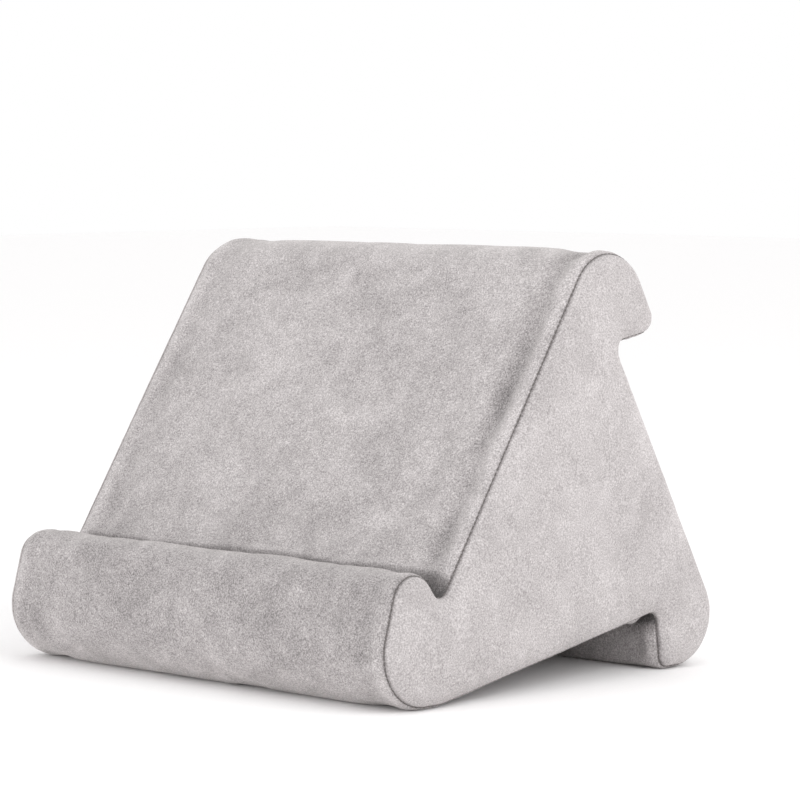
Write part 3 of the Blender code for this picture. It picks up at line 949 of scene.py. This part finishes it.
def cross_row(name, s, out, node_name=None, low=FROM_SEAM - SEAM_X, high=SEAM_X - FROM_SEAM,
              least=-math.inf):
    """Stitches along x at distance s along the belt, `out` above the cloth or above `least`."""
    x = np.arange(low, high, STITCH_PITCH)
    at = np.full(len(x), s)
    height = np.maximum(wrap_height(np.array([s]), x)[0] + hem_height(s, x), least) + out
    middle, outer = belt(at, height), belt(at, height + MM)
    along = np.tile([1.0, 0, 0], (len(x), 1))
    up = with_x(0, (outer - middle) / MM)
    stitch_row(name, with_x(x + lengthen(s, x), middle), along, up, node_name)


for side, side_name in ((-1, "left"), (1, "right")):
    end_seam(side, side_name)
for name in GROOVES:
    cross_row(f"{name}_stitches", MIDDLE[name], IN_GROOVE, f"{name}_thread")
HEM_ROW = ZIP_GAP + HEM_WIDTH / 2
cross_row("zipper_hem_stitches_upper", ZIP_S + HEM_ROW, IN_HEM, "zipper_stitches_upper")
cross_row("zipper_hem_stitches_lower", ZIP_S - HEM_ROW, IN_HEM, "zipper_stitches_lower")

# %% [markdown]
# ## The zipper
#
# A coil zipper has no separate teeth: each side is one nylon wire wound in an oval coil, and
# the turns of one side mesh between the turns of the other. A small circle swept along a
# helix gives exactly that. The tapes keep their CAD shapes.

# %% Two interlocking coils
PITCH, WIRE_R, COIL_X = 1.3 * MM, 0.29 * MM, 131 * MM
COIL_Y, COIL_WIDE, COIL_HIGH, COIL_Z = 1.25 * MM, 1.45 * MM, 0.74 * MM, -0.65 * MM
TURN_STEPS, WIRE_SIDES = 14, 6
zip_y, zip_z = belt(np.array([ZIP_S]))[0]
DOWN = np.array([math.cos(BACK_SLOPE), math.sin(BACK_SLOPE)])
OUT = np.array([-math.sin(BACK_SLOPE), math.cos(BACK_SLOPE)])


def zip_place(x, y, z):
    """From the zipper's own axes, y down the back face and z out of it, to the object's."""
    return np.stack([x, zip_y + y * DOWN[0] + z * OUT[0], zip_z + y * DOWN[1] + z * OUT[1]], -1)


def tube(line, outward, radii, sides):
    """An ellipse carried along a line: line + outward * r0 * cos + third * r1 * sin.

    Third is square to the line and to outward. Both ends are closed by flat faces.
    """
    ahead = np.gradient(line, axis=0)
    ahead /= np.linalg.norm(ahead, axis=1, keepdims=True)
    outward = outward - (outward * ahead).sum(-1, keepdims=True) * ahead
    outward /= np.linalg.norm(outward, axis=1, keepdims=True)
    third = np.cross(ahead, outward)[:, None]
    turn = np.linspace(0, 2 * math.pi, sides, endpoint=False)[None, :, None]
    points = line[:, None] + radii[0] * outward[:, None] * np.cos(turn)
    points = points + radii[1] * third * np.sin(turn)
    faces = [f[::-1] for f in grid_faces(len(line), sides, loop_columns=True)]
    last = (len(line) - 1) * sides
    faces += [list(range(sides))[::-1], list(range(last, last + sides))]
    return points.reshape(-1, 3), faces


def coil(name, side, node_name):
    """A tube round the helix (pitch * turn, wide * cos, high * sin), closed at both ends."""
    turns = int(2 * COIL_X / PITCH)
    a = np.linspace(0, 2 * math.pi * turns, turns * TURN_STEPS)
    start_x = -COIL_X + (PITCH / 2 if side > 0 else 0)
    x = start_x + PITCH * a / (2 * math.pi)
    line = np.stack([x, side * COIL_Y - side * COIL_WIDE * np.cos(a),
                     COIL_Z + COIL_HIGH * np.sin(a)], -1)
    outward = np.stack([0 * a, -side * np.cos(a) / COIL_WIDE, np.sin(a) / COIL_HIGH], -1)
    points, faces = tube(line, outward, (WIRE_R, WIRE_R), WIRE_SIDES)
    piece = make_piece(name, zip_place(*points.T), faces, nylon)
    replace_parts(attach(piece, "cushion"), node_name)
    print(f"{name}: {turns} turns")


coil("zipper_spiral_upper", -1, "zipper_coil_upper")
coil("zipper_spiral_lower", 1, "zipper_coil_lower")

# %% The woven finish of the tapes, which keep their CAD shape
for name in ("zipper_tape_upper", "zipper_tape_lower"):
    mesh = frame["nodes"][name].data
    mesh.materials.clear()
    mesh.materials.append(tape)

# %% [markdown]
# ## The slider and its pull
#
# Both are cast in zinc and tumbled in a barrel before they are plated, so every edge is
# round. The body is narrow at its tail, where it holds the closed coils, and wide at its nose,
# where two open rows come in. Its section is a superellipse, a shape between an ellipse and a
# box. The arch and the pull's loop are bent bars, made by the same tube as the coils. The
# record says where the pull's hinge is, and the roof lies just under it.

# %% Where the slider and its hinge are
hinge = np.array(frame["record"]["behaviour"]["joints"][1]["pos_m"])
HINGE_X, HINGE_Z = hinge[0], (hinge[1:] - (zip_y, zip_z)) @ OUT
HINGE_UP = 0.9 * MM
ROOF_Z, BODY_LONG, BODY_HIGH = HINGE_Z - HINGE_UP, 12 * MM, 3.3 * MM
TAIL_WIDE, NOSE_WIDE, END_ROUND, WALL = 4.0 * MM, 4.6 * MM, 1.3 * MM, 0.8 * MM


def squared(angle, power):
    """Cosine and sine with their signs kept and their sizes raised to 2 / power."""
    c, s = np.cos(angle), np.sin(angle)
    return np.sign(c) * np.abs(c) ** (2 / power), np.sign(s) * np.abs(s) ** (2 / power)


def cast_piece(name, body, points, faces, node_name=None):
    """A nickel-plated piece that rides on a body, from points in the zipper's own axes."""
    piece = make_piece(name, zip_place(*np.reshape(points, (-1, 3)).T), faces, nickel)
    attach(piece, body)
    if node_name:
        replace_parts(piece, node_name)
    return piece


# %% The body and its arch
ARCH_HALF, ARCH_SUNK, ARCH_HIGH, ARCH_BAR = 3.6 * MM, 0.5 * MM, 3 * MM, (0.6 * MM, 1.2 * MM)
BODY_SQUARE, ARCH_SQUARE, TUMBLED = 5, 3.2, 0.25 * MM


def slider_body():
    """A squared arch carried from tail to nose, open below, where the coils run.

    Near both ends its roof draws in by END_ROUND - sqrt(END_ROUND^2 - short^2), as a quarter
    circle does, but its sides hardly do.
    """
    t = np.linspace(0, 1, 33)[:, None]
    short = np.clip(END_ROUND - np.minimum(t, 1 - t) * BODY_LONG, 0, None)
    short = END_ROUND - np.sqrt(END_ROUND**2 - short**2)
    across, up = squared(np.linspace(math.pi, 0, 41)[None, :], BODY_SQUARE)
    half_wide = TAIL_WIDE + (NOSE_WIDE - TAIL_WIDE) * eased(t) - short * up**4
    x = HINGE_X + BODY_LONG * (t - 0.5) + 0 * up
    z = ROOF_Z - BODY_HIGH + (BODY_HIGH - 0.5 * short) * up
    return np.stack([x, half_wide * across, z], -1), grid_faces(33, 41)


def slider_arch():
    """A flat bar bent over the roof: (half * cos, high * sin), squared, ends in the roof."""
    along, rise = squared(np.linspace(math.pi, 0, 33), ARCH_SQUARE)
    line = [HINGE_X + ARCH_HALF * along, 0 * along, ROOF_Z - ARCH_SUNK + ARCH_HIGH * rise]
    outward = np.stack([along, 0 * along, rise + 0.01], -1)
    return tube(np.stack(line, -1), outward, ARCH_BAR, 16)


body = cast_piece("cast_slider_body", "slider", *slider_body(), "zipper_slider")
thicken(body, WALL)
rounding = body.modifiers.new("tumbled edges", "BEVEL")
rounding.width, rounding.segments, rounding.angle_limit = TUMBLED, 3, math.radians(50)
cast_piece("cast_slider_arch", "slider", *slider_arch())

# %% The pull: a bent loop under the arch, and a tab with a thumb hollow
ARM_Y, ARM_BEND, ARM_END, LOOP_R = 2.3 * MM, 1.2 * MM, 8.5 * MM, 0.55 * MM
TAB_MIDDLE, TAB_HALF, TAB_WIDE, TAB_NARROWS = 16 * MM, 11 * MM, 3.45 * MM, 0.45 * MM
TAB_THICK, TAB_SIDES, TAB_SQUARE, TAB_EDGE = 0.55 * MM, 72, 3.4, 0.08
THUMB_EDGE, THUMB_SLOPE, THUMB_SHARE = 0.78, 0.16, 0.45


def pull_loop():
    """A round wire: an arm, a quarter turn, the hinge bar, a quarter turn and an arm."""
    q = np.linspace(0, math.pi / 2, 9)
    x = ARM_BEND * np.concatenate([np.sin(q) - 1, np.cos(q) - 1])
    y = ARM_Y - ARM_BEND + ARM_BEND * np.concatenate([[1], np.cos(q)])
    x = np.concatenate([[-ARM_END], x, [-ARM_END]])
    line = np.stack([HINGE_X + x, np.concatenate([y, -y[::-1]]), HINGE_Z + 0 * x], -1)
    return tube(line, np.tile([0.0, 0, 1], (len(line), 1)), (LOOP_R, LOOP_R), 12)


def pull_tab():
    """Rings that shrink a squared outline towards one point above and one below.

    Half the thickness is TAB_THICK, less a soft hollow inside THUMB_EDGE, and rounded like a
    quarter circle over the outer TAB_EDGE.
    """
    share = np.array([0.3, 0.6, 0.66, 0.72, 0.78, 0.85, 0.92, 0.96, 0.99, 1.0])
    hollow = THUMB_SHARE * eased(ramp(THUMB_EDGE - share, THUMB_SLOPE))
    outer = np.clip(share - (1 - TAB_EDGE), 0, None) / TAB_EDGE
    thick = TAB_THICK * (1 - hollow) * np.sqrt(np.clip(1 - outer**2, 0, None))
    share = np.concatenate([share, share[-2::-1]])[:, None]
    thick = np.concatenate([thick, -thick[-2::-1]])[:, None]
    angle = np.arange(TAB_SIDES) * 2 * math.pi / TAB_SIDES
    x, y = squared(angle, TAB_SQUARE)
    y = y * (TAB_WIDE - TAB_NARROWS * np.cos(angle))
    rings = np.stack(np.broadcast_arrays(share * TAB_HALF * x, share * y, thick), -1)
    poles = [[0, 0, thick[0, 0]], [0, 0, thick[-1, 0]]]
    points = np.concatenate([rings.reshape(-1, 3), poles]) + [HINGE_X - TAB_MIDDLE, 0, HINGE_Z]
    faces = grid_faces(len(share), TAB_SIDES, loop_columns=True)
    top = len(share) * TAB_SIDES
    for i in range(TAB_SIDES):
        j = (i + 1) % TAB_SIDES
        faces += [[top, i, j], [top + 1, top - TAB_SIDES + j, top - TAB_SIDES + i]]
    return points, faces


tab, faces = pull_tab()
loop, loop_faces = pull_loop()
faces += [[i + len(tab) for i in f] for f in loop_faces]
cast_piece("cast_pull", "pull", np.concatenate([tab, loop]), faces, "zipper_pull")

# %% [markdown]
# ## The care label
#
# A blank satin ribbon is folded in two and sewn down by its cut ends. It is one strip, whose
# path goes out, round a soft fold and back.

# %% A folded ribbon
LABEL_X, LABEL_WIDE, LABEL_TOP, LABEL_DROP = -90 * MM, 25 * MM, 10.9 * MM, 18.6 * MM
RIBBON, FOLD_R, LABEL_UP, FOLD_SPARE = 0.2 * MM, 0.9 * MM, 0.25 * MM, 1.5 * MM
SEWN_IN, SEWN_UP = 1.5 * MM, 1.55 * MM


def ribbon():
    """A strip whose path is out and back with a half circle at the fold.

    It lifts off the cloth with the square of the distance towards the fold, one corner more
    than the other, and a slow wave runs across it.
    """
    t = np.linspace(0, 1, 24)
    half = np.linspace(-math.pi / 2, math.pi / 2, 9)[1:-1]
    run = LABEL_DROP - FOLD_R
    y = np.concatenate([run * t, run + FOLD_R * np.cos(half), run * t[::-1]])
    spread = np.sqrt(t) * FOLD_R
    z = np.concatenate([FOLD_R - spread, FOLD_R + FOLD_R * np.sin(half), FOLD_R + spread[::-1]])
    u = np.linspace(-1, 1, 15)[None, :]
    curl = 1.1 + 0.9 * u**2 + 0.7 * u + 0.5 * np.sin(4 * u + 1)
    lift = (y / LABEL_DROP)[:, None] ** 2 * MM * curl
    under = wrap_height(ZIP_S - LABEL_TOP - y, LABEL_X + u[0] * LABEL_WIDE / 2)
    z = z[:, None] + lift + np.maximum(under, 0) + LABEL_UP
    y = LABEL_TOP + y[:, None] + 0 * u
    return zip_place(LABEL_X + u * LABEL_WIDE / 2 + 0 * y, y, z), len(t) * 2 + len(half)


points, rows = ribbon()
faces = [f[::-1] for f in grid_faces(rows, 15)]
label = make_piece("blank_care_ribbon", points, faces, satin)
thicken(label, RIBBON)
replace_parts(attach(label, "cushion"), "care_label")
cross_row("care_ribbon_stitches", ZIP_S - LABEL_TOP - SEWN_IN, SEWN_UP, least=0,
          low=LABEL_X - LABEL_WIDE / 2 + 2 * MM, high=LABEL_X + LABEL_WIDE / 2 - MM)

# %% [markdown]
# ## Floor, light and camera
#
# A white floor and a white sky fill the shadows as a light tent does. One large soft light
# from the right makes the end panel the brightest side, and the camera stands low, off the
# right front corner, with a long lens that keeps the edges almost parallel.

# %% The floor and the lights
FLOOR_HALF, PAPER_GRAIN = 6.0, 2 * MM
paper = finish("matt_white_paper", PAPER_GRAIN, "FCFBFB", "FFFEFE", 0.9, 0.05)
corners = FLOOR_HALF * np.array([[-1, -1, 0], [1, -1, 0], [1, 1, 0], [-1, 1, 0]])
floor = make_piece("floor", corners, [[0, 1, 2, 3]], paper)
world = bpy.data.worlds.new("light_tent")
bpy.context.scene.world = world
world.use_nodes = True
world.node_tree.nodes["Background"].inputs["Color"].default_value = linear("FFFFFF")
world.node_tree.nodes["Background"].inputs["Strength"].default_value = 1.0


def aimed(name, data, place, direction):
    """An object at a place in metres that looks along a direction."""
    made = bpy.data.objects.new(name, data)
    made.location = place
    made.rotation_euler = Vector(direction).to_track_quat("-Z", "Y").to_euler()
    bpy.context.scene.collection.objects.link(made)
    return made


def softbox(name, place, size, watts):
    """A square area light that faces the middle of the stand."""
    data = bpy.data.lights.new(name, "AREA")
    data.size, data.energy = size, watts
    aimed(name, data, place, (cad_box[0] + cad_box[1]) / 2 - Vector(place))


softbox("right_softbox", (1.6, 0.1, 1.1), size=1.2, watts=13)
softbox("front_softbox", (-0.6, -1.6, 0.3), size=0.5, watts=7)

# %% The camera
camera_data = bpy.data.cameras.new("camera")
camera_data.lens, camera_data.sensor_width = 160.0, 36.0
camera_data.clip_end = 60
camera = aimed("camera", camera_data, (1.298, -1.322, 0.278), (-0.6909, 0.7189, -0.0757))
bpy.context.scene.camera = camera
bpy.context.scene.view_settings.view_transform = "Standard"
